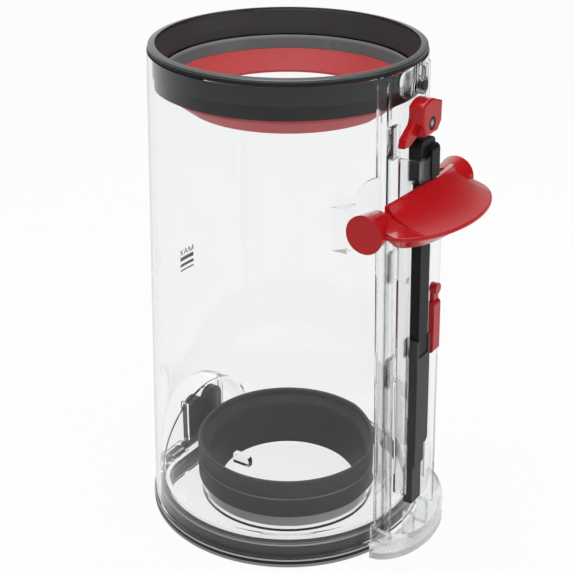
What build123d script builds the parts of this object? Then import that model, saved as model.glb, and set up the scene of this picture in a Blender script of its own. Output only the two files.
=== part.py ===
from build123d import *
import math
import os

# Dust bin of a cordless cyclone vacuum cleaner. Millimetres, +Z up. The origin is on the axis
# of the clear tube, in the plane that the bin stands on. The runner faces -Y, the hinge +Y.

# Clearances
fit = 0.1
running = 0.05
gap = 0.4

# Clear tube, wider at its foot so that the dust drops out
tube_top_r = 57.0
tube_foot_r = 62.0
tube_foot_z = 3.8
tube_top_z = 212.0
tube_wall = 2.0

# Collar in the top of the tube
collar_depth = 13.5
collar_step_depth = 8.0
collar_step = 0.7
collar_flange = 1.3
collar_flange_inset = 0.5
socket_inset = 4.6
socket_depth = 5.0
socket_length = 3.6
groove_inset = 3.5
shelf_inset = 6.3
shelf_thick = 2.6
slot_count = 8
slot_length = 7.0
slot_height = 1.6
slot_depth = 0.4
lip_height = 1.5
lip_width = 2.9

# Ring that holds the wiper, and the wiper skirt
holder_inset = 5.1
holder_mouth_inset = 6.0
holder_bore_inset = 7.4
holder_top = 2.0
holder_skirt = 0.9
wiper_reach = 8.9
wiper_drop = 8.3
wiper_thick = 0.9
wiper_bead = 1.4

# Base flap
floor_thick = 3.0
dish_wall = 1.8
dish_top_z = 13.0
chord_inset = 11.9
chord_corner = 20.0
rim_proud = 0.7
rim_width = 5.3
rim_top_z = 3.4
band_width = 1.6
band_top_z = 11.2
band_chord = 0.7
spigot_inset = 1.2
spigot_wall = 2.5
spigot_top_z = 11.4

# Tall sealing ring that stands in the base
ring_inset = 15.7
ring_parting_z = 20.8
ring_top_z = 29.5
ring_lip = 2.1
ring_funnel = 8.0
ring_foot_z = 4.5
ring_groove = 0.5
ring_wall = 3.0

# Small hook on the floor inside the ring
hook_length = 9.0
hook_width = 3.0
hook_height = 5.0
hook_inset = 15.7

# Hinge, in a pocket of the tube
pin_inset = 8.5
pin_z = 10.0
pin_r = 2.0
knuckle_r = 3.4
pocket_inset = 15.4
pocket_wall = 1.7
pocket_half = 33.0
pocket_rise = 29.0
pocket_foot_z = 9.0
arm_x = 12.5
arm_width = 3.5
cheek_x = 17.5
cheek_width = 8.5
cover_half = 13.0
cover_thick = 3.6
cover_foot_z = 16.0
cover_lobe_r = 6.5
pocket_rib = 1.2

# Runner on the front of the tube: distances out are measured from the tube's outer line
fin_x = 21.0
fin_thick = 1.8
fin_out = 4.0
fin_top_z = 150.0
rail_x = 16.0
rail_thick = 1.6
rail_out = 0.8
rail_end = 2.0
guide_x = 9.1
guide_thick = 1.6
guide_out = 5.0
guide_foot_z = 24.0
guide_end = 7.0
lip_length = 9.4
lip_reach = 8.2
lip_thick = 1.4
tie_width = 5.6
tie_height = 13.0
tie_downs = (26.0, 78.0, 126.0)
runner_foot_z = 4.2

# Boss and plug at the top of the runner
boss_down = 6.0
boss_r = 3.6
boss_out = 5.0
plug_r = 2.1
plug_deep = 2.0
plug_proud = 0.7
panel_half = 9.0
panel_height = 10.5
panel_out = 1.0

# Top catch on its radial pin
catch_down = 20.5
catch_pin_r = 1.6
catch_boss_r = 3.9
catch_in = 2.6
catch_out = 9.0
catch_tail_out = 5.6
catch_round = 1.0
catch_pin_head_r = 2.4
catch_pin_head = 0.7
catch_sink_r = 2.7
catch_sink = 0.9

# Outline of the catch in x and z from its pin: crown, then ear, foot and side, and the tail
catch_crown = ((-7.4, 7.6), (-2.0, 9.8), (4.0, 8.6))
catch_ear = ((4.0, 8.6), (8.6, 7.0), (8.2, -1.0))
catch_foot = ((8.2, -1.0), (5.0, -4.4), (-5.0, -4.6))
catch_side = ((-5.0, -4.6), (-7.4, 1.0), (-7.4, 7.6))
catch_tail = ((-4.0, -4.0), (-11.5, -7.0), (-16.0, -6.6), (-15.0, -3.2), (-9.6, 0.2), (-7.0, 2.0))

# Push rod and release slide
rod_half = 4.0
rod_in = 2.9
rod_out = 7.4
rod_foot_z = 90.0
head_half = 6.2
head_in = 2.2
head_out = 9.6
head_height = 16.4
head_down = 6.5
slide_half = 5.5
slide_in = 2.7
slide_out = 7.8
slide_top_z = 98.0
slide_step_z = 46.0
slide_tip_half = 4.0
slide_jog_z = 36.0
slide_jog = 1.0
slide_floor = 1.2

# Springs: one under the rod's lug, behind the rod, and one round the catch's pin
wire_r = 0.2
coil_r = 0.9
coil_out = 1.5
coil_length = 26.0
coil_down = 7.0
coil_turns = 10
lug_half = 1.6
lug_height = 1.8
lug_in = 0.5
torsion_r = 2.5
torsion_wire_r = 0.3
torsion_in = 3.2
torsion_turns = 2.25
torsion_pitch = 0.65
torsion_room_r = 3.2
torsion_room = 2.4

# Red lever: round ends, a wall between them that sweeps out to a brim, and a hull under the brim
lever_down = 55.0
lever_half = 39.5
cap_r = 8.0
cap_neck_r = 6.2
cap_out = 1.2
cap_chamfer = 0.4
shoulder_x = 27.5
lever_back = 8.0
lever_bow = 4.4
lever_wall = 1.8
lever_rise = 8.4
lever_crown = 2.6
lever_drop = 8.0
wing_x = 35.5
wing_back = 1.5
wing_rise = 6.0
brim_half = 36.5
brim_reach = 22.0
sweep_out = 0.15
sweep_up = 0.28
brim_thick = 1.6
hull_draw = 8.0
hull_round = 0.5
lever_travel = 12.0
tip_spare = 2.8

# Guide blocks that the lever's ends run past
block_x = 29.0
block_width = 9.0
block_down = 10.0
block_height = 18.0
block_gap = 0.5
block_pad_half = 30.0
block_pad_height = 26.5
block_pad_round = 8.0

# Small release button beside the far fin
button_width = 6.0
button_in = 2.4
button_out = 5.6
button_foot_z = 84.0
button_top_z = 116.0
button_knob_r = 2.4
button_neck = 2.4
button_gap = 0.3

# Foot of the flap under the runner
foot_half = 27.5
foot_inset = 2.7
foot_reach = 16.0
foot_wall = 1.8
foot_floor = 2.2
foot_front_z = 7.0
foot_back_z = 17.0
tongue_half = 23.5
post_x = 5.0
post_width = 2.4
post_in = 3.0
post_out = 8.0
post_top_z = 14.0

# Sizes that follow from the ones above: the collar and the runner's top hang from the tube's top,
# the base and the hinge go with the tube's foot
taper = (tube_foot_r - tube_top_r) / (tube_top_z - tube_foot_z)
draft = math.degrees(math.atan(taper))
collar_foot_z = tube_top_z - collar_depth
collar_step_z = tube_top_z - collar_step_depth
socket_r = tube_top_r - socket_inset
socket_top_z = tube_top_z - socket_depth
socket_foot_z = socket_top_z - socket_length
groove_r = tube_top_r - groove_inset
shelf_r = tube_top_r - shelf_inset
lip_r = tube_top_r - collar_flange_inset
lip_mouth_r = lip_r - lip_width
holder_r = tube_top_r - holder_inset
holder_mouth_r = tube_top_r - holder_mouth_inset
holder_bore_r = tube_top_r - holder_bore_inset
holder_skirt_z = collar_foot_z - holder_skirt
wiper_mouth_r = holder_bore_r - wiper_reach
wiper_foot_z = holder_skirt_z - wiper_drop
rim_r = tube_foot_r + rim_proud
dish_r = rim_r - rim_width
band_r = dish_r + band_width
chord_y = dish_r - chord_inset
ring_r = dish_r - ring_inset
ring_mouth_r = ring_r - ring_lip
ring_foot_r = ring_mouth_r - ring_funnel
spigot_r = ring_r - spigot_inset
hook_y = ring_r - hook_inset
pin_y = tube_foot_r - pin_inset
pocket_y = tube_foot_r - pocket_inset
foot_y = rim_r - foot_inset
boss_z = tube_top_z - boss_down
catch_z = tube_top_z - catch_down
head_top_z = catch_z - head_down
rod_neck_z = head_top_z - head_height
guide_top_z = head_top_z - guide_end
lip_foot_z = guide_top_z - lip_length
lever_z = tube_top_z - lever_down
lever_foot_z = lever_z - lever_drop
block_z = lever_z - block_down
coil_top_z = lever_z - coil_down
coil_foot_z = coil_top_z - coil_length
slide_tip_z = foot_floor + lever_travel + tip_spare


def outer_r(z):
    """Outer radius of the clear tube at a height."""
    return tube_foot_r - taper * (z - tube_foot_z)


def inner_r(z):
    return outer_r(z) - tube_wall


# The runner's frame leans with the tube wall: local y = 0 is the wall's outer line.
runner = Location((0, -outer_r(0), 0), (-draft, 0, 0))


def ring(*profile):
    """Turn a closed (radius, height) profile about the tube's axis."""
    points = [(r, 0, z) for r, z in profile]
    return revolve(make_face(Polyline(*points, close=True)), Axis.Z)


def block(x0, x1, out0, out1, z0, z1):
    """Box between two distances out from the tube wall, in the runner's frame."""
    middle = Location(((x0 + x1) / 2, -(out0 + out1) / 2, (z0 + z1) / 2))
    return middle * Box(x1 - x0, out1 - out0, z1 - z0)


def both(shape):
    """A shape and its mirror image across the runner's middle plane."""
    return shape + mirror(shape, Plane.YZ)


def post_out_of(x, z, radius, out0, out1):
    """Round post that points straight out of the runner."""
    middle = Location((x, -(out0 + out1) / 2, z), (90, 0, 0))
    return middle * Cylinder(radius, out1 - out0)


def cross_bar(radius, x0, x1, y, z):
    """Round bar along X."""
    middle = Location(((x0 + x1) / 2, y, z), (0, 90, 0))
    return middle * Cylinder(radius, x1 - x0)


def upright(outline, out0, out1):
    """Extrude an (x, z) face so that it fills two distances out from the tube wall."""
    face = Plane((0, -out0, 0), x_dir=(1, 0, 0), z_dir=(0, -1, 0)) * outline
    return extrude(face, out1 - out0)


def coil(radius, wire, height, turns):
    """Coil spring that stands on the origin along Z."""
    path = Helix(height / turns, height, radius)
    section = Plane(origin=path @ 0, z_dir=path % 0) * Circle(wire)
    return sweep(section, path=path, is_frenet=True)


def d_shape(radius, chord):
    """Disc with its hinge side cut straight, and round corners that clear the tube as it swings."""
    shape = Circle(radius) - Pos(0, chord + radius) * Rectangle(4 * radius, 2 * radius)
    return fillet(shape.vertices().group_by(Axis.Y)[-1], chord_corner - dish_r + radius)


def flat(outline, z0, z1):
    return extrude(Pos(0, 0, z0) * outline, z1 - z0)


def tombstone(wall):
    """Round-topped outline of the hinge pocket, in X and Z, with a wall's width round it."""
    half = pocket_half + wall
    rise = pocket_rise + wall
    arch = Pos(0, pin_z) * Ellipse(half, rise)
    sides = Pos(0, pin_z / 2) * Rectangle(2 * half, pin_z)
    return (arch & (Pos(0, pin_z + rise / 2) * Rectangle(2 * half, rise))) + sides


def tube_body():
    return ring(
        (outer_r(tube_foot_z), tube_foot_z),
        (outer_r(tube_top_z), tube_top_z),
        (inner_r(tube_top_z), tube_top_z),
        (inner_r(tube_foot_z), tube_foot_z),
    )


def tube_inside(radius_at):
    """The tapered core inside a wall, longer than the tube."""
    low, high = -tube_top_z / 4, tube_top_z * 1.25
    return ring((0, low), (radius_at(low), low), (radius_at(high), high), (0, high))


def runner_rails():
    """Fins, rails, guides and bosses moulded on the tube, in the runner's frame."""
    deep = -tube_wall * 3
    fins = block(fin_x - fin_thick, fin_x, deep, fin_out, runner_foot_z, fin_top_z)
    for down in tie_downs:
        top = tube_top_z - down + tie_height / 2
        fins += block(rail_x - tie_width, rail_x, deep, rail_out, top - tie_height, top)
    guides = block(guide_x - guide_thick, guide_x, deep, guide_out, guide_foot_z, guide_top_z)
    body = both(fins + guides)
    lip_out = lip_thick + rod_out + gap
    body += block(-guide_x, guide_thick - guide_x, deep, lip_out, lip_foot_z, guide_top_z)
    body += block(-guide_x, lip_reach - guide_x, rod_out + gap, lip_out, lip_foot_z, guide_top_z)
    stop_out = cap_out - cap_r - block_gap
    stop = block(block_x, block_x + block_width, deep * 3, stop_out, block_z, block_z + block_height)
    body += both(stop)
    seat_z = coil_foot_z - fit
    body += block(-lug_half, lug_half, deep, coil_out + coil_r, seat_z - lug_height, seat_z)
    body += post_out_of(0, boss_z, boss_r, deep, boss_out)
    body += post_out_of(0, catch_z, catch_boss_r, deep, catch_in - gap)
    panel = RectangleRounded(2 * panel_half, panel_height, boss_r)
    body += upright(Pos(0, tube_top_z - panel_height / 2) * panel, deep, panel_out)
    body -= post_out_of(0, boss_z, plug_r + fit / 5, boss_out - plug_deep, boss_out)
    body -= post_out_of(0, catch_z, catch_pin_r + fit / 5, fit, catch_in)
    return body


def low_rails():
    """Low rails along the whole tube, and thin pads round the guide blocks, on the tube's wall."""
    outline = RectangleRounded(2 * block_pad_half, block_pad_height, block_pad_round)
    outline -= Rectangle(2 * fin_x - fin_thick, block_pad_height)
    body = upright(Pos(0, block_z + block_pad_height / 2) * outline, -tube_top_r, 0)
    for x, thick in ((fin_x, fin_thick), (rail_x, rail_thick)):
        body += both(block(x - thick, x, -tube_top_r, rail_out, runner_foot_z, tube_top_z - rail_end))
    return (runner * body) & tube_inside(lambda z: outer_r(z) + rail_out)


def hinge_pocket():
    """Outside and inside of the round-topped hinge pocket."""
    depth = tube_foot_r
    facing = Plane((0, pocket_y, 0), x_dir=(1, 0, 0), z_dir=(0, -1, 0))
    shell = extrude(facing * tombstone(pocket_wall), -depth)
    facing = Plane((0, pocket_y + pocket_wall, 0), x_dir=(1, 0, 0), z_dir=(0, -1, 0))
    hollow = extrude(facing * tombstone(0), -depth)
    return shell, hollow


def hinge_cheeks():
    """Cheeks that carry the hinge pin, and the ribs beside the cover."""
    front = pocket_y + pocket_wall / 2
    cheek = cross_bar(knuckle_r, cheek_x, cheek_x + cheek_width, pin_y, pin_z)
    web_top_z = pin_z + knuckle_r
    middle = Location((cheek_x + cheek_width / 2, (front + pin_y) / 2, (pocket_foot_z + web_top_z) / 2))
    cheek += middle * Box(cheek_width, pin_y - front, web_top_z - pocket_foot_z)
    rib_x = cover_half + pocket_rib
    rib_top_z = pin_z + pocket_rise * math.sqrt(1 - (rib_x / pocket_half) ** 2)
    rib = Location((rib_x, front + cover_thick / 2, (cover_foot_z + rib_top_z) / 2))
    rib = rib * Box(pocket_rib, cover_thick, rib_top_z - cover_foot_z)
    return both(cheek + rib) - cross_bar(pin_r + fit / 5, -pocket_half, pocket_half, pin_y, pin_z)


def bin_tube():
    shell, hollow = hinge_pocket()
    core = tube_inside(inner_r)
    skin = tube_inside(outer_r)
    level = Pos(0, 0, tube_top_z / 2) * Box(4 * tube_foot_r, 4 * tube_foot_r, tube_top_z)
    body = tube_body() + (shell & skin & (Pos(0, 0, pocket_foot_z) * level)) - hollow
    body += hinge_cheeks()
    outside = (runner * runner_rails()) + low_rails() - core
    return body + (outside & level)


def top_collar():
    seat = tube_top_z + fit
    top = seat + collar_flange
    body = ring(
        (inner_r(collar_foot_z) - fit - collar_step, collar_foot_z),
        (inner_r(collar_step_z) - fit - collar_step, collar_step_z),
        (inner_r(collar_step_z) - fit, collar_step_z),
        (inner_r(tube_top_z) - fit, tube_top_z),
        (inner_r(tube_top_z) - fit, seat),
        (lip_r, seat),
        (lip_r, top),
        (lip_mouth_r, top),
        (socket_r, socket_top_z),
        (socket_r, socket_foot_z),
        (groove_r, socket_foot_z),
        (groove_r, collar_foot_z + shelf_thick),
        (shelf_r, collar_foot_z + shelf_thick),
        (shelf_r, collar_foot_z),
    )
    slot = Box(2 * slot_depth, slot_length, slot_height)
    slot_z = collar_foot_z + shelf_thick + slot_height / 2
    for place in PolarLocations(groove_r, slot_count):
        body -= Pos(0, 0, slot_z) * place * slot
    return body


def collar_lip_seal():
    foot = tube_top_z + fit + collar_flange
    soft = lip_height / 3
    return ring(
        (lip_mouth_r, foot),
        (lip_r, foot),
        (lip_r, foot + lip_height - soft),
        (lip_r - soft, foot + lip_height),
        (lip_mouth_r + soft, foot + lip_height),
        (lip_mouth_r, foot + lip_height - soft),
    )


def wiper_holder():
    seat = collar_foot_z + shelf_thick
    soft = holder_top / 3
    return ring(
        (shelf_r - fit, holder_skirt_z),
        (shelf_r - fit, seat),
        (holder_r, seat),
        (holder_r, seat + holder_top - soft),
        (holder_r - soft, seat + holder_top),
        (holder_mouth_r, seat + holder_top),
        (holder_bore_r, holder_skirt_z),
    )


def shroud_wiper():
    outer = shelf_r - fit
    return ring(
        (outer, holder_skirt_z),
        (outer, holder_skirt_z - wiper_bead),
        (wiper_mouth_r + wiper_thick, wiper_foot_z),
        (wiper_mouth_r, wiper_foot_z),
        (wiper_mouth_r, wiper_foot_z + wiper_thick),
        (holder_bore_r, holder_skirt_z),
    )


def flap_foot():
    """Clear scoop that reaches out under the runner, with the posts of the base catch."""
    outline = Pos(0, -foot_y) * Ellipse(foot_half, foot_reach)
    inside = Pos(0, -foot_y) * Ellipse(foot_half - foot_wall, foot_reach - foot_wall)
    front = Pos(0, -foot_y - foot_reach) * Rectangle(4 * foot_half, 2 * foot_reach)
    scoop = flat(outline & front, 0, foot_back_z) - flat(inside, foot_floor, 2 * foot_back_z)
    rise = math.degrees(math.atan((foot_back_z - foot_front_z) / foot_reach))
    slope = Location((0, -foot_y - foot_reach, foot_front_z), (rise, 0, 0))
    scoop -= slope * Pos(0, 0, foot_back_z) * Box(4 * foot_half, 4 * foot_reach, 2 * foot_back_z)
    scoop -= Pos(0, 0, tube_top_z / 2 + floor_thick) * Cylinder(rim_r + gap, tube_top_z)
    scoop -= Cylinder(rim_r + fit, 4 * rim_top_z)
    tongue = flat(Pos(0, -foot_y) * Rectangle(2 * tongue_half, foot_reach), 0, foot_floor)
    catch_y = outer_r(0) + post_in
    catch_depth = post_out - post_in
    middle = Location((post_x + post_width / 2, -catch_y - catch_depth / 2, (foot_floor + post_top_z) / 2))
    post = middle * Box(post_width, catch_depth, post_top_z - foot_floor)
    post = chamfer(post.edges().group_by(Axis.Z)[-1].sort_by(Axis.Y)[0], post_width / 2)
    return scoop + tongue + both(post)


def base_flap():
    body = flat(Circle(dish_r), 0, floor_thick)
    wall = d_shape(dish_r, chord_y) - d_shape(dish_r - dish_wall, chord_y - dish_wall)
    body += flat(wall, floor_thick, dish_top_z)
    body += flat(Circle(spigot_r) - Circle(spigot_r - spigot_wall), floor_thick, spigot_top_z)
    hook = Location((0, hook_y, floor_thick + hook_height / 2)) * Box(hook_width, hook_length, hook_height)
    hook = fillet(hook.edges().group_by(Axis.Z)[-1].sort_by(Axis.Y)[0], hook_height / 2)
    body += hook
    body += flap_foot()
    arm = cross_bar(knuckle_r, arm_x, arm_x + arm_width, pin_y, pin_z)
    front = pin_y - knuckle_r
    back = math.sqrt(dish_r**2 - (arm_x + arm_width) ** 2)
    web = Location((arm_x + arm_width / 2, (front + back) / 2, (floor_thick + pin_z) / 2))
    arm += web * Box(arm_width, back - front, pin_z - floor_thick)
    body += both(arm)
    return body - cross_bar(pin_r + running, -cheek_x, cheek_x, pin_y, pin_z)


def base_rim_seal():
    rim = flat(Circle(rim_r) - Circle(dish_r + fit), 0, rim_top_z)
    rim -= Pos(0, -foot_y) * Box(2 * tongue_half + 2 * fit, 2 * foot_reach, 4 * rim_top_z)
    band = d_shape(band_r, chord_y + band_chord) - d_shape(dish_r + fit, chord_y + fit)
    return rim + flat(band, (floor_thick + rim_top_z) / 2, band_top_z)


def ring_carrier():
    slope = (ring_mouth_r - ring_foot_r) / (ring_top_z - ring_foot_z)
    return ring(
        (ring_foot_r, ring_foot_z),
        (ring_foot_r + slope * (ring_parting_z - ring_foot_z), ring_parting_z),
        (ring_r, ring_parting_z),
        (ring_r, spigot_top_z),
        (spigot_r - spigot_wall - fit, spigot_top_z),
        (spigot_r - spigot_wall - fit, ring_foot_z),
    )


def inner_ring_seal():
    soft = ring_groove
    foot = ring_mouth_r - ring_wall
    return ring(
        (foot, ring_parting_z),
        (foot, ring_top_z - 2 * ring_wall),
        (ring_mouth_r, ring_top_z - ring_wall),
        (ring_mouth_r, ring_top_z - soft),
        (ring_mouth_r + soft, ring_top_z),
        (ring_r - soft, ring_top_z),
        (ring_r, ring_top_z - soft),
        (ring_r, ring_parting_z + soft),
        (ring_r - soft, ring_parting_z),
    )


def hinge_cover():
    """Dark lobed cover of the hinge spring, on the back of the pocket's wall."""
    lobe = Pos(cover_half - cover_lobe_r, cover_foot_z + 2 * cover_lobe_r) * Circle(cover_lobe_r)
    apron = Pos(0, cover_foot_z + cover_lobe_r) * Rectangle(2 * cover_half, 2 * cover_lobe_r)
    outline = lobe + mirror(lobe, Plane.YZ) + apron
    front = pocket_y + pocket_wall + fit
    facing = Plane((0, front, 0), x_dir=(1, 0, 0), z_dir=(0, -1, 0))
    return extrude(facing * outline, -cover_thick)


def hinge_pin():
    end = cheek_x + cheek_width
    pin = cross_bar(pin_r, -end, end, pin_y, pin_z)
    return chamfer(pin.edges().filter_by(GeomType.CIRCLE), pin_r / 6)


def runner_plug():
    plug = post_out_of(0, boss_z, plug_r, boss_out - plug_deep, boss_out + plug_proud)
    return runner * fillet(plug.edges().group_by(Axis.Y)[0], plug_proud / 2)


def catch_pin():
    seat = catch_out - catch_sink + fit
    pin = post_out_of(0, catch_z, catch_pin_r, 2 * fit, seat)
    head = post_out_of(0, catch_z, catch_pin_head_r, seat, seat + catch_pin_head)
    return runner * (pin + chamfer(head.edges().group_by(Axis.Y)[0], catch_pin_head / 3))


def top_catch():
    """Rocking catch with a hooked tail and an ear, on the radial pin."""
    outline = ThreePointArc(*catch_crown)
    for points in (catch_ear, catch_foot, catch_side):
        outline += Polyline(*points)
    solid = upright(Pos(0, catch_z) * make_face(outline), catch_in, catch_out)
    solid = fillet(solid.faces().sort_by(Axis.Y)[0].edges(), catch_round)
    tail = upright(Pos(0, catch_z) * make_face(Polyline(*catch_tail, close=True)), catch_in, catch_tail_out)
    solid += fillet(tail.faces().sort_by(Axis.Y)[0].edges(), catch_round / 2)
    solid -= post_out_of(0, catch_z, torsion_room_r, 0, catch_in + torsion_room)
    solid -= post_out_of(0, catch_z, catch_sink_r, catch_out - catch_sink, catch_out)
    return runner * (solid - post_out_of(0, catch_z, catch_pin_r + running, 0, 2 * catch_out))


def lever_spring():
    """Coil that lifts the lever and its rod back up."""
    height = coil_top_z - coil_foot_z - 2 * wire_r
    standing = coil(coil_r, wire_r, height, coil_turns)
    return runner * Pos(0, -coil_out, coil_foot_z + wire_r) * standing


def catch_spring():
    """Torsion coil round the catch's pin, in the hollow at the catch's back."""
    lying = coil(torsion_r, torsion_wire_r, torsion_turns * torsion_pitch, torsion_turns)
    return runner * Location((0, -torsion_in, catch_z), (90, 0, 0)) * lying


def push_rod():
    shaft = block(-rod_half, rod_half, rod_in, rod_out, rod_foot_z, rod_neck_z)
    head = block(-head_half, head_half, head_in, rod_out, rod_neck_z, head_top_z)
    head = fillet(head.edges().filter_by(Axis.Y).group_by(Axis.Z)[-1], head_half / 2)
    step = lip_reach - guide_x + gap
    boss = block(step, head_half, rod_out - rod_in, head_out, rod_neck_z, head_top_z - head_half / 2)
    boss = fillet(boss.edges().filter_by(Axis.X).group_by(Axis.Z)[-1].sort_by(Axis.Y)[0], head_half / 3)
    lug = block(-lug_half, lug_half, lug_in, rod_in, coil_top_z + fit, coil_top_z + fit + lug_height)
    body = shaft + head + boss + lug
    foot = body.edges().filter_by(Axis.Y).group_by(Axis.Z)[0]
    return runner * fillet(foot, rod_half / 2)


def release_slide():
    body = block(-slide_half, slide_half, slide_in, slide_out, slide_step_z, slide_top_z)
    body = chamfer(body.edges().filter_by(Axis.Y).group_by(Axis.Z)[0], slide_half - slide_tip_half)
    body += block(-slide_tip_half, slide_tip_half, slide_in, slide_out - slide_jog, slide_jog_z, slide_step_z)
    tip_in = slide_in - slide_jog
    tip_out = slide_out - 2 * slide_jog
    body += block(-slide_tip_half, slide_tip_half, tip_in, tip_out, slide_tip_z, slide_jog_z)
    socket_z = rod_foot_z - fit
    pocket = block(-rod_half - fit, rod_half + fit, rod_in - fit, 2 * slide_out, socket_z, 2 * slide_top_z)
    keep = block(-slide_half, slide_half, slide_in - slide_floor, rod_in - fit, socket_z, slide_top_z)
    return runner * (body - pocket + keep)


def brim_edge(x):
    """How far out the brim's edge is, at a distance from the middle."""
    return lever_back + brim_reach * math.sqrt(1 - (x / brim_half) ** 2)


def wall_back(x):
    """How far out the back of the lever's bowed wall is, at a distance from the middle."""
    return lever_back - lever_bow * (x / shoulder_x) ** 2


def wall_top_z(x):
    return lever_z + lever_rise + lever_crown * (1 - (x / shoulder_x) ** 2)


def lever_section(x, back, top):
    """Slice of the lever's wall: from a thin top it sweeps out hollow to the brim's edge."""
    front = back + lever_wall
    edge = brim_edge(x) - hull_round
    under = lever_z - brim_thick / 2
    slice_plane = Plane((x, 0, 0), x_dir=(0, -1, 0), z_dir=(-1, 0, 0))
    bend = (front + sweep_out * (edge - front), lever_z + sweep_up * (top - lever_z))
    outline = Bezier((front, top), bend, (edge, lever_z))
    outline += Polyline((edge, lever_z), (edge, under), (back, under))
    outline += Polyline((back, under), (back, top), (front, top))
    return slice_plane * make_face(outline)


def brim_plan(inset):
    plan = Pos(0, -lever_back) * Ellipse(brim_half - inset, brim_reach - inset)
    return plan & (Pos(0, -lever_back - brim_reach) * Rectangle(4 * brim_half, 2 * brim_reach))


def lever_hull(inset):
    """Underside of the brim, drawn in towards the foot."""
    top = Pos(0, 0, lever_z - brim_thick) * brim_plan(inset)
    foot = Pos(0, 0, lever_foot_z) * brim_plan(inset + hull_draw)
    return loft([top, foot])


def empty_lever():
    """Red lever: two round ends, a wall swept out to a brim for the thumb, and a hollow hull."""
    place = Location(((shoulder_x + lever_half) / 2, -cap_out, lever_z), (0, 90, 0))
    cap = place * Cone(cap_neck_r, cap_r, lever_half - shoulder_x)
    cap = chamfer(cap.edges().filter_by(GeomType.CIRCLE).sort_by(Axis.X)[-1], cap_chamfer)
    stations = (-shoulder_x, -shoulder_x / 2, 0, shoulder_x / 2, shoulder_x)
    wall = loft([lever_section(x, wall_back(x), wall_top_z(x)) for x in stations])
    wing_ends = ((shoulder_x, wall_back(shoulder_x)), (wing_x, wing_back))
    wing = loft([lever_section(x, back, lever_z + wing_rise) for x, back in wing_ends])
    brim = flat(brim_plan(0), lever_z - brim_thick, lever_z)
    brim = fillet(brim.edges().sort_by(Axis.Y)[:2], hull_round)
    hull = lever_hull(lever_wall) - lever_hull(2 * lever_wall)
    back = block(-shoulder_x / 2, shoulder_x / 2, lever_back, lever_back + lever_wall, lever_foot_z, lever_z)
    pad = block(-rod_half, rod_half, rod_out + fit, lever_back, lever_foot_z, lever_z + lever_rise)
    body = both(cap + wing) + wall + brim + hull + back + pad
    return (runner * body) - tube_inside(lambda z: outer_r(z) + rail_out + block_gap)


def release_button():
    """Small red latch: knob, neck and bulged body beside the far fin."""
    right = fin_x - fin_thick - button_gap
    left = right - button_width
    middle = (left + right) / 2
    length = button_top_z - button_foot_z
    body = block(left, right, button_in, button_out, button_foot_z, button_top_z - length / 4)
    ends = body.edges().filter_by(Axis.X)
    body = fillet(ends.sort_by(Axis.Y)[:2], (button_out - button_in) / 2)
    neck_z = button_top_z - button_knob_r
    neck_out = button_out - button_neck / 2
    neck = block(middle - button_neck / 2, right, button_in, neck_out, button_foot_z, neck_z)
    knob = post_out_of(right - button_knob_r, neck_z, button_knob_r, button_in, button_out)
    return runner * (body + neck + knob)


def save(name, shape):
    shape.label = name
    export_step(shape, os.path.join("parts", name + ".step"))


def main():
    os.makedirs("parts", exist_ok=True)
    save("bin_tube", bin_tube())
    save("top_collar", top_collar())
    save("collar_lip_seal", collar_lip_seal())
    save("wiper_holder", wiper_holder())
    save("shroud_wiper", shroud_wiper())
    save("base_flap", base_flap())
    save("base_rim_seal", base_rim_seal())
    save("ring_carrier", ring_carrier())
    save("inner_ring_seal", inner_ring_seal())
    save("hinge_cover", hinge_cover())
    save("hinge_pin", hinge_pin())
    save("runner_plug", runner_plug())
    save("catch_pin", catch_pin())
    save("catch_spring", catch_spring())
    save("top_catch", top_catch())
    save("push_rod", push_rod())
    save("release_slide", release_slide())
    save("lever_spring", lever_spring())
    save("empty_lever", empty_lever())
    save("release_button", release_button())


main()
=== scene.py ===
import math

import bmesh
import bpy
from mathutils import Matrix, Vector

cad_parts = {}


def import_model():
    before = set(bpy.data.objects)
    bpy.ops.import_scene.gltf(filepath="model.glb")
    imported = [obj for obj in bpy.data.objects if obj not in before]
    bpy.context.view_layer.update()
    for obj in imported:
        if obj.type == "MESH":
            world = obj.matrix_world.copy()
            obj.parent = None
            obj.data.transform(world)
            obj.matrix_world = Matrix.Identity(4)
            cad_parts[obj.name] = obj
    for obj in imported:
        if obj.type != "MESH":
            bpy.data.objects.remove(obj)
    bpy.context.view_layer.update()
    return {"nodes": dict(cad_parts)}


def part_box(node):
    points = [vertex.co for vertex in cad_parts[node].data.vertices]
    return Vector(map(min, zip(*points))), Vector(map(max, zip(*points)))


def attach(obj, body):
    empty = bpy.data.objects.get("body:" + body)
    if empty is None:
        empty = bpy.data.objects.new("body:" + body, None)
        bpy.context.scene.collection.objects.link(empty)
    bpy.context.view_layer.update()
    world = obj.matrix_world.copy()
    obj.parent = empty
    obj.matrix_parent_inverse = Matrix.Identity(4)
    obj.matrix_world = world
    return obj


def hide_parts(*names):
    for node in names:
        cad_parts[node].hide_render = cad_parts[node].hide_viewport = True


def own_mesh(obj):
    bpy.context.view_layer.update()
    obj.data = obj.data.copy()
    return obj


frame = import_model()
scene = bpy.context.scene
scene.view_settings.view_transform = "Standard"

# Sockets of a Mix node that is set to colours
colour_a = 6
colour_b = 7
colour_out = 2


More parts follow.
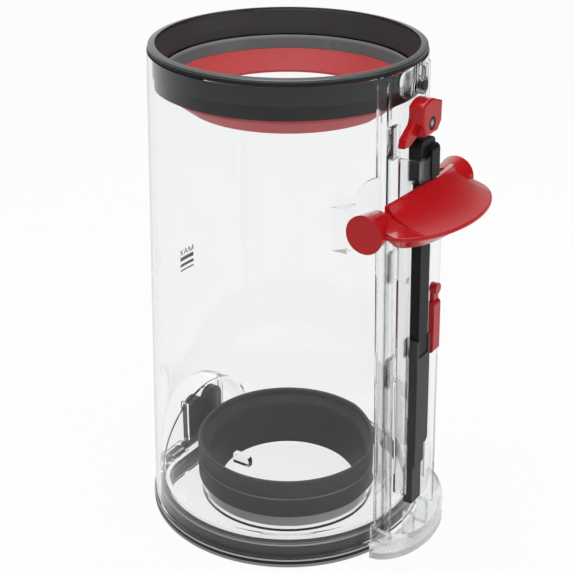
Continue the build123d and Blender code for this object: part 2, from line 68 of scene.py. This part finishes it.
class Shade:
    """A socket in a shader tree. Arithmetic on it adds Math nodes to that tree."""

    def __init__(self, tree, socket=None):
        self.tree = tree
        self.socket = socket

    def node(self, kind, values, out=0, **settings):
        made = self.tree.nodes.new(kind)
        for key, value in settings.items():
            setattr(made, key, value)
        for key, value in values.items():
            if isinstance(value, Shade):
                self.tree.links.new(value.socket, made.inputs[key])
            else:
                made.inputs[key].default_value = value
        return Shade(self.tree, made.outputs[out] if made.outputs else None)

    def math(self, how, a, b):
        return self.node("ShaderNodeMath", {0: a, 1: b}, operation=how)

    def __add__(self, other):
        return self.math("ADD", self, other)

    def __sub__(self, other):
        return self.math("SUBTRACT", self, other)

    def __rsub__(self, other):
        return self.math("SUBTRACT", other, self)

    def __mul__(self, other):
        return self.math("MULTIPLY", self, other)

    def __truediv__(self, other):
        return self.math("DIVIDE", self, other)

    def __rtruediv__(self, other):
        return self.math("DIVIDE", other, self)

    __radd__ = __add__
    __rmul__ = __mul__


def tree_of(name):
    """A new material and its empty tree."""
    material = bpy.data.materials.new(name)
    material.use_nodes = True
    material.node_tree.nodes.clear()
    return material, Shade(material.node_tree)


def noise(shade, scale, detail=3.0, stretch=(1, 1, 1)):
    place = shade.node("ShaderNodeTexCoord", {}, out="Object")
    place = shade.node("ShaderNodeMapping", {"Vector": place, "Scale": stretch})
    return shade.node("ShaderNodeTexNoise", {"Vector": place, "Scale": scale, "Detail": detail})


def opaque(rgb):
    return (*rgb, 1)


def tinted(shade, low, high, factor):
    """A colour between two, by a factor."""
    values = {"Factor": factor, colour_a: low, colour_b: high}
    return shade.node("ShaderNodeMix", values, out=colour_out, data_type="RGBA")


def ramp(value, start, end):
    """Nought up to start, one from end on."""
    return value.node("ShaderNodeMath", {0: (value - start) / (end - start), 1: 0.0}, use_clamp=True)


def from_axis(a, b):
    """Distance from the origin in a plane."""
    square = a * a + b * b
    return square.math("SQRT", square, 0.0)


def split(shade, vector):
    return [shade.node("ShaderNodeSeparateXYZ", {"Vector": vector}, out=axis) for axis in "XYZ"]


def axes(shade):
    """The piece's own x, y and z."""
    return split(shade, shade.node("ShaderNodeTexCoord", {}, out="Object"))


# Moulded plastics and rubbers
cloud_scale = 60.0
cloud_share = 0.2
step_soft = 0.0002
band_soft = 0.00012
polish_from = 0.80
polish_full = 0.95
grain_detail = 2.0
grain_depth = 0.0002
grain_gloss = 0.1
edge_round = 0.0004
edge_samples = 6
coat_rough = 0.05


def banded(shade, colour, bands):
    """Level bands over a colour: each has a foot, a top, an inner radius and a grey."""
    x, y, z = axes(shade)
    out = from_axis(x, y)
    for foot, top, inner, grey in bands:
        inside = ramp(z, foot - band_soft, foot) * (1.0 - ramp(z, top, top + band_soft))
        inside = inside * ramp(out, inner, inner + band_soft)
        colour = tinted(shade, colour, opaque((grey, grey, grey)), inside)
    return colour


def stepped(shade, cloud, radius, foot, top, outer):
    """Tone that is full inside a radius, and outside it goes up to a share between two heights."""
    x, y, z = axes(shade)
    inside = 1.0 - ramp(from_axis(x, y), radius, radius + step_soft)
    tone = inside.math("MAXIMUM", inside, outer * ramp(z, foot, top))
    return cloud_share * cloud + (1 - cloud_share) * tone


def plastic(
    name, low, high, rough, spread, grain, bump, shine=0.3, coat=0.0, polish=0.0, step=None, bands=()
):
    """Moulded plastic or rubber: clouded colour, uneven gloss and a fine grain.

    A step and bands paint light and shade into the colour from place to place. Polish is more coat on
    faces that look up."""
    material, shade = tree_of(name)
    cloud = noise(shade, cloud_scale)
    tone = stepped(shade, cloud, *step) if step else cloud
    colour = tinted(shade, opaque(low), opaque(high), tone)
    if bands:
        colour = banded(shade, colour, bands)
    if polish:
        _, _, up = split(shade, shade.node("ShaderNodeTexCoord", {}, out="Normal"))
        coat = coat + polish * ramp(up, polish_from, polish_full)
    fine = noise(shade, grain, detail=grain_detail)
    edge = shade.node("ShaderNodeBevel", {"Radius": edge_round}, samples=edge_samples)
    normal = shade.node(
        "ShaderNodeBump", {"Strength": bump, "Distance": grain_depth, "Height": fine, "Normal": edge}
    )
    body = shade.node(
        "ShaderNodeBsdfPrincipled",
        {
            "Base Color": colour,
            "Roughness": rough + spread * cloud + grain_gloss * spread * fine,
            "Normal": normal,
            "Specular IOR Level": shine,
            "Coat Weight": coat,
            "Coat Roughness": coat_rough,
        },
    )
    shade.node("ShaderNodeOutputMaterial", {"Surface": body})
    return material


steel_scale = 300.0
steel_stretch = (1, 8, 1)
steel_spread = 0.15


def metal(name, low, high, rough, sunk=None):
    """Turned or drawn steel with a grain along the piece.

    A sunk pin along Y, given by its middle and two radii, goes from low to high between the radii;
    where high is dark, it is painted shade from the hole round the pin."""
    material, shade = tree_of(name)
    cloud = noise(shade, steel_scale, stretch=steel_stretch)
    tone = cloud
    if sunk:
        middle, start, end = sunk
        x, _, z = axes(shade)
        tone = ramp(from_axis(x - middle[0], z - middle[2]), start, end)
    body = shade.node(
        "ShaderNodeBsdfPrincipled",
        {
            "Base Color": tinted(shade, opaque(low), opaque(high), tone),
            "Roughness": rough + steel_spread * cloud,
            "Metallic": 1.0,
        },
    )
    shade.node("ShaderNodeOutputMaterial", {"Surface": body})
    return material


# The tube's outer face is a cone, and the runner stands proud of it
tube_r0 = 0.0620913
tube_taper = 0.024015
proud_from = 0.0003
proud_full = 0.0008
runner_straight = 0.4
clear_cloud = 25.0
clear_ior = 1.27
straight_tint = (0.93, 0.94, 0.94)


def clear_plastic(name, low, high, rough):
    """Polished clear plastic. It lets lamp light through to what is inside, and more of what is
    behind shows straight through the thick runner outside the tube."""
    material, shade = tree_of(name)
    cloud = noise(shade, clear_cloud)
    body = shade.node(
        "ShaderNodeBsdfPrincipled",
        {
            "Base Color": tinted(shade, opaque(low), opaque(high), cloud),
            "Roughness": rough + rough * cloud,
            "Transmission Weight": 1.0,
            "IOR": clear_ior,
        },
    )
    through = shade.node("ShaderNodeBsdfTransparent", {"Color": opaque(straight_tint)})
    shadow = shade.node("ShaderNodeLightPath", {}, out="Is Shadow Ray")
    x, y, z = axes(shade)
    proud = from_axis(x, y) + tube_taper * z - tube_r0
    straight = runner_straight * ramp(proud, proud_from, proud_full)
    mixed = shade.node(
        "ShaderNodeMixShader", {0: shadow.math("MAXIMUM", shadow, straight), 1: body, 2: through}
    )
    shade.node("ShaderNodeOutputMaterial", {"Surface": mixed})
    return material


# Steps: radius, foot, top, share outside. Bands: foot, top, inner radius, grey.
# Painted light and shade: the collar is painted dark grey inside, and outside that radius, which takes
# in its slot floors, it is painted darker, black below its step
collar_painted_shade = (0.0537, 0.2038, 0.2042, 0.26)
# Painted highlight: the holder is painted paler towards its top, for the light its rounded top catches
holder_painted_highlight = (0.0, 0.2015, 0.2029, 1.0)
# Painted reflection and highlight: the ring's skirt inside the spigot is painted pale, for the clear
# spigot's reflections, and its parting line is painted light, as a highlight
ring_painted_light = (
    (-0.001, 0.0114, 0.0365, 0.55),
    (0.0205, 0.0212, 0.0405, 0.24),
)
# The rim is grey at its foot. Above that a black band is painted shade, and its light upper edge and
# the seal's light top are painted highlights
rim_painted_light = (
    (-0.001, 0.0014, 0.0610, 0.30),
    (0.0016, 0.0030, 0.0610, 0.004),
    (0.0031, 0.0036, 0.0621, 0.55),
    (0.0093, 0.0106, 0.0500, 0.17),
    (0.0088, 0.0093, 0.0500, 0.50),
)
base_black = {
    "low": (0.043, 0.043, 0.044), "high": (0.053, 0.053, 0.054),
    "rough": 0.42, "spread": 0.08, "grain": 900, "bump": 0.02,
}
# The catch pin is steel in its middle and painted near-black towards its rim, as the shade of the hole
# it sits sunk in
pin_low, pin_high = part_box("catch_pin")
pin_middle = [(a + b) / 2 for a, b in zip(pin_low, pin_high)]
pin_bright_r = 0.0009
pin_shade_r = 0.0013

finishes = {
    "clear": clear_plastic(
        "clear_polycarbonate", low=(0.945, 0.948, 0.95), high=(0.96, 0.963, 0.965), rough=0.008
    ),
    "collar": plastic(
        "collar_black", low=(0.003, 0.003, 0.004), high=(0.070, 0.070, 0.071),
        rough=0.34, spread=0.08, grain=900, bump=0.03, shine=0.12, step=collar_painted_shade,
    ),
    "ring": plastic("ring_black", bands=ring_painted_light, **base_black),
    "rim": plastic("rim_black", bands=rim_painted_light, **base_black),
    "cover": plastic("cover_black", **base_black),
    "seal": plastic(
        "seal_rubber", low=(0.022, 0.022, 0.023), high=(0.032, 0.032, 0.033),
        rough=0.45, spread=0.15, grain=1200, bump=0.10,
    ),
    "lip": plastic(
        "lip_rubber", low=(0.016, 0.018, 0.019), high=(0.024, 0.026, 0.027),
        rough=0.18, spread=0.08, grain=1200, bump=0.03, shine=1.0,
    ),
    "grey": plastic(
        "grey_satin", low=(0.135, 0.142, 0.148), high=(0.33, 0.35, 0.36),
        rough=0.22, spread=0.08, grain=900, bump=0.04, step=holder_painted_highlight,
    ),
    "rod": plastic(
        "rod_black", low=(0.008, 0.009, 0.009), high=(0.013, 0.014, 0.014),
        rough=0.36, spread=0.10, grain=1100, bump=0.08, shine=0.15,
    ),
    "slide": plastic(
        "slide_grey", low=(0.030, 0.031, 0.032), high=(0.044, 0.045, 0.046),
        rough=0.38, spread=0.10, grain=1100, bump=0.10,
    ),
    "wiper": plastic(
        "wiper_red", low=(0.56, 0.060, 0.062), high=(0.64, 0.075, 0.077),
        rough=0.45, spread=0.10, grain=700, bump=0.05,
    ),
    "red": plastic(
        "lever_red", low=(0.50, 0.006, 0.010), high=(0.58, 0.010, 0.014),
        rough=0.16, spread=0.06, grain=500, bump=0.02, shine=0.25, coat=0.1, polish=0.9,
    ),
    "pin": metal(
        "catch_pin_steel", low=(0.45, 0.47, 0.50), high=(0.03, 0.035, 0.04), rough=0.25,
        sunk=(pin_middle, pin_bright_r, pin_shade_r),
    ),
    "steel": metal("pin_steel", low=(0.34, 0.35, 0.36), high=(0.48, 0.49, 0.50), rough=0.25),
    "dark_steel": metal("oxide_steel", low=(0.07, 0.07, 0.075), high=(0.12, 0.12, 0.125), rough=0.35),
    "ink": plastic(
        "mark_ink", low=(0.02, 0.02, 0.021), high=(0.03, 0.03, 0.031),
        rough=0.5, spread=0.1, grain=900, bump=0.02,
    ),
}

finish_of = {
    "bin_tube": "clear",
    "base_flap": "clear",
    "top_collar": "collar",
    "wiper_holder": "grey",
    "shroud_wiper": "wiper",
    "base_rim_seal": "rim",
    "ring_carrier": "ring",
    "inner_ring_seal": "ring",
    "hinge_cover": "cover",
    "hinge_pin": "dark_steel",
    "runner_plug": "seal",
    "catch_pin": "pin",
    "catch_spring": "steel",
    "top_catch": "red",
    "push_rod": "rod",
    "release_slide": "slide",
    "empty_lever": "red",
    "release_button": "red",
}
for node_name, finish in finish_of.items():
    for place in frame["nodes"][node_name].material_slots:
        place.material = finishes[finish]


def piece_of(name, mesh, material, smooth=False):
    """A new object in the scene, made from a bmesh that is then freed."""
    for face in mesh.faces:
        face.smooth = smooth
    data = bpy.data.meshes.new(name)
    mesh.to_mesh(data)
    mesh.free()
    data.materials.append(material)
    piece = bpy.data.objects.new(name, data)
    scene.collection.objects.link(piece)
    return piece


# Soft lip round the mouth: it is highest at its inner edge and falls away outwards
lip_width = 0.0029
lip_fall = 0.0006
lip_soft = 0.00025
lip_soft_steps = 4
lip_steps = 192
near_nought = 1e-6


def runs_round(edge):
    """Whether an edge goes round the mouth, with both ends at one height and radius."""
    a, b = (vert.co for vert in edge.verts)
    return abs(a.z - b.z) < near_nought and abs(a.xy.length - b.xy.length) < near_nought


def mouth_lip():
    low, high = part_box("collar_lip_seal")
    outer, foot, top = high[0], low[2], high[2]
    inner = outer - lip_width
    profile = ((inner, foot), (outer, foot), (outer, top - lip_fall), (inner, top))
    mesh = bmesh.new()
    verts = [mesh.verts.new((radius, 0, z)) for radius, z in profile]
    edges = [mesh.edges.new((a, b)) for a, b in zip(verts, verts[1:] + verts[:1])]
    bmesh.ops.spin(
        mesh, geom=verts + edges, cent=(0, 0, 0), axis=(0, 0, 1), angle=2 * math.pi, steps=lip_steps,
        use_merge=True,
    )
    bmesh.ops.bevel(
        mesh, geom=[edge for edge in mesh.edges if runs_round(edge)], offset=lip_soft,
        offset_type="OFFSET", segments=lip_soft_steps, profile=0.5, affect="EDGES", material=-1,
    )
    bmesh.ops.recalc_face_normals(mesh, faces=mesh.faces)
    piece = piece_of("mouth_lip", mesh, finishes["lip"], smooth=True)
    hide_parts("collar_lip_seal")
    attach(piece, "bin")


mouth_lip()


# Coil under the lever, at the length of the model's spring; the real one shortens as the lever goes
# down
wire_r = 0.0002
wire_sides = 8
coil_r = 0.0009
coil_turns = 10
turn_steps = 20
runner_lean = 0.024008


def lever_coil():
    low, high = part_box("lever_spring")
    length = high[2] - low[2]
    steps = coil_turns * turn_steps
    foot = Vector((0, low[1] + coil_r + wire_r, low[2]))
    lean = Vector((0, runner_lean, 1)).normalized()
    mesh = bmesh.new()
    bmesh.ops.create_circle(mesh, cap_ends=True, radius=wire_r, segments=wire_sides)
    bmesh.ops.rotate(mesh, verts=mesh.verts, matrix=Matrix.Rotation(math.pi / 2, 3, "X"))
    bmesh.ops.translate(mesh, verts=mesh.verts, vec=(coil_r, 0, wire_r))
    bmesh.ops.spin(
        mesh, geom=mesh.verts[:] + mesh.edges[:] + mesh.faces[:], cent=(0, 0, 0), axis=(0, 0, 1),
        dvec=(0, 0, (length - 2 * wire_r) / steps), angle=2 * math.pi * coil_turns, steps=steps,
    )
    bmesh.ops.holes_fill(mesh, edges=[edge for edge in mesh.edges if edge.is_boundary])
    bmesh.ops.recalc_face_normals(mesh, faces=mesh.faces)
    turn = Vector((0, 0, 1)).rotation_difference(lean).to_matrix()
    bmesh.ops.rotate(mesh, verts=mesh.verts, matrix=turn)
    bmesh.ops.translate(mesh, verts=mesh.verts, vec=foot)
    piece = piece_of("lever_coil", mesh, finishes["steel"], smooth=True)
    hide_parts("lever_spring")
    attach(piece, "bin")
    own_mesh(piece)


lever_coil()


# Fill mark printed on the outside of the tube, on the hinge side: three bars under a word.
# Bars: height and width of stroke in mm. Strokes of the word: across in mm, up as a share.
ink_lift = 0.00004
mark_x = 0.0031
mark_foot_z = 0.0974
mark_half = 0.005
mark_bars = ((-0.1, 0.75), (2.5, 1.5), (5.66, 1.95))
mark_word = (
    ((-4.7, 0), (-4.7, 1)), ((-4.7, 1), (-3.2, 0)), ((-3.2, 0), (-1.7, 1)), ((-1.7, 1), (-1.7, 0)),
    ((-0.7, 0), (0.6, 1)), ((0.6, 1), (1.9, 0)), ((-0.2, 0.35), (1.4, 0.35)),
    ((2.8, 0), (4.9, 1)), ((2.8, 1), (4.9, 0)),
)
word_foot = 7.6
word_top = 10.4
word_stroke = 0.5
stroke_steps = 6
mm = 0.001


def on_tube(u, z):
    """Point on the tube's outer face: u runs to the left as seen from outside."""
    radius = tube_r0 - tube_taper * z + ink_lift
    angle = (mark_x - u) / radius
    return Vector((radius * math.sin(angle), radius * math.cos(angle), z))


def stroke(mesh, start, end, width):
    """Flat bar of ink from start to end, in short steps that follow the tube. All are in mm."""
    a, b = Vector(start) * mm, Vector(end) * mm
    side = (b - a).orthogonal().normalized() * (width * mm / 2)
    rows = []
    for i in range(stroke_steps + 1):
        middle = a.lerp(b, i / stroke_steps)
        pair = (middle - side, middle + side)
        rows.append([mesh.verts.new(on_tube(p.x, mark_foot_z + p.y)) for p in pair])
    for low, high in zip(rows, rows[1:]):
        mesh.faces.new((low[0], low[1], high[1], high[0]))


def fill_mark():
    mesh = bmesh.new()
    half = mark_half / mm
    for z, width in mark_bars:
        stroke(mesh, (-half, z), (half, z), width)
    tall = word_top - word_foot
    for (u0, v0), (u1, v1) in mark_word:
        stroke(mesh, (u0, word_foot + v0 * tall), (u1, word_foot + v1 * tall), word_stroke)
    bmesh.ops.recalc_face_normals(mesh, faces=mesh.faces)
    piece = piece_of("fill_mark", mesh, finishes["ink"])
    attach(piece, "bin")


fill_mark()


def rays(shade):
    """One each for a ray of the camera, of a reflection, and through something clear."""
    kinds = ("Is Camera Ray", "Is Glossy Ray", "Is Transmission Ray")
    return [shade.node("ShaderNodeLightPath", {}, out=kind) for kind in kinds]


white = (1, 1, 1, 1)
floor_grey = (0.9, 0.9, 0.9, 1)
floor_half = 4.0
floor_drop = 0.0002
floor_white = 0.93
floor_mirrored = 0.35


def floor():
    """Pale floor that keeps the shadow and is otherwise white to the camera."""
    material, shade = tree_of("pale_floor")
    matt = shade.node("ShaderNodeBsdfDiffuse", {"Color": floor_grey})
    glow = shade.node("ShaderNodeEmission", {"Color": white, "Strength": 1.0})
    camera, glossy, through = rays(shade)
    seen = camera.math("MAXIMUM", camera.math("MAXIMUM", camera, floor_mirrored * glossy), through)
    mixed = shade.node("ShaderNodeMixShader", {0: seen * floor_white, 1: matt, 2: glow})
    shade.node("ShaderNodeOutputMaterial", {"Surface": mixed})
    mesh = bmesh.new()
    bmesh.ops.create_grid(mesh, x_segments=2, y_segments=2, size=floor_half)
    piece = piece_of("floor", mesh, material)
    piece.location.z = -floor_drop


floor()


# The room is darker at the sides and overhead. In reflections it has a bright backdrop behind the bin
# and a dark right side. Directions are east and north shares.
right = (0.53, -0.85)
away = (0.84, 0.545)
room_grey = 0.92
side_fall = 0.55
side_power = 3.0
top_fall = 0.15
room_share = 0.62
backdrop_edge = (0.45, 0.75)
backdrop_side = (0.05, 0.35)
backdrop_gain = 0.80
mirror_loss = 0.34
dark_side = (0.15, 0.55)
dark_side_loss = 0.2


def world():
    scene.world = bpy.data.worlds.new("studio")
    scene.world.use_nodes = True
    tree = scene.world.node_tree
    tree.nodes.clear()
    shade = Shade(tree)
    camera, glossy, through = rays(shade)
    east, north, up = split(shade, shade.node("ShaderNodeTexCoord", {}, out="Generated"))
    side = east * right[0] + north * right[1]
    dark = side.math("POWER", side.math("ABSOLUTE", side, 0.0), side_power)
    grey = room_grey - side_fall * dark - top_fall * up
    behind = east * away[0] + north * away[1]
    backdrop = ramp(behind, *backdrop_edge) * (1.0 - ramp(side, *backdrop_side))
    mirrored = backdrop_gain * backdrop - mirror_loss - dark_side_loss * ramp(side, *dark_side)
    lit = room_share + (1 - room_share) * through + glossy * mirrored
    level = camera.math("MAXIMUM", camera, grey * lit)
    room = shade.node("ShaderNodeBackground", {"Color": white, "Strength": level})
    shade.node("ShaderNodeOutputWorld", {"Surface": room})


world()

bin_middle = Vector((0, 0, 0.11))


def softbox(name, place, size, watts):
    """Square or oblong lamp that looks at the middle of the bin."""
    lamp = bpy.data.lights.new(name, "AREA")
    lamp.shape = "RECTANGLE"
    lamp.size, lamp.size_y = size
    lamp.energy = watts
    piece = bpy.data.objects.new(name, lamp)
    piece.location = place
    piece.rotation_euler = (bin_middle - Vector(place)).to_track_quat("-Z", "Y").to_euler()
    scene.collection.objects.link(piece)


softbox("key", place=(-0.25, -0.05, 1.0), size=(0.6, 0.6), watts=2.6)
softbox("fill", place=(0.1, -0.9, 0.55), size=(0.5, 0.8), watts=1.8)
softbox("rim", place=(0.32, 0.2, 1.05), size=(0.5, 0.5), watts=2.4)

# The photo's view: it looks down by the tilt, and is turned about the upright
view_place = (-0.43611, -0.28321, 0.35465)
view_tilt = 0.44924
view_turn = math.radians(-56.955)
view = bpy.data.cameras.new("photo_view")
view.lens = 82.342
view.sensor_width = 36.0
camera = bpy.data.objects.new("photo_view", view)
camera.location = view_place
camera.rotation_euler = (math.pi / 2 - view_tilt, 0, view_turn)
scene.collection.objects.link(camera)
scene.camera = camera
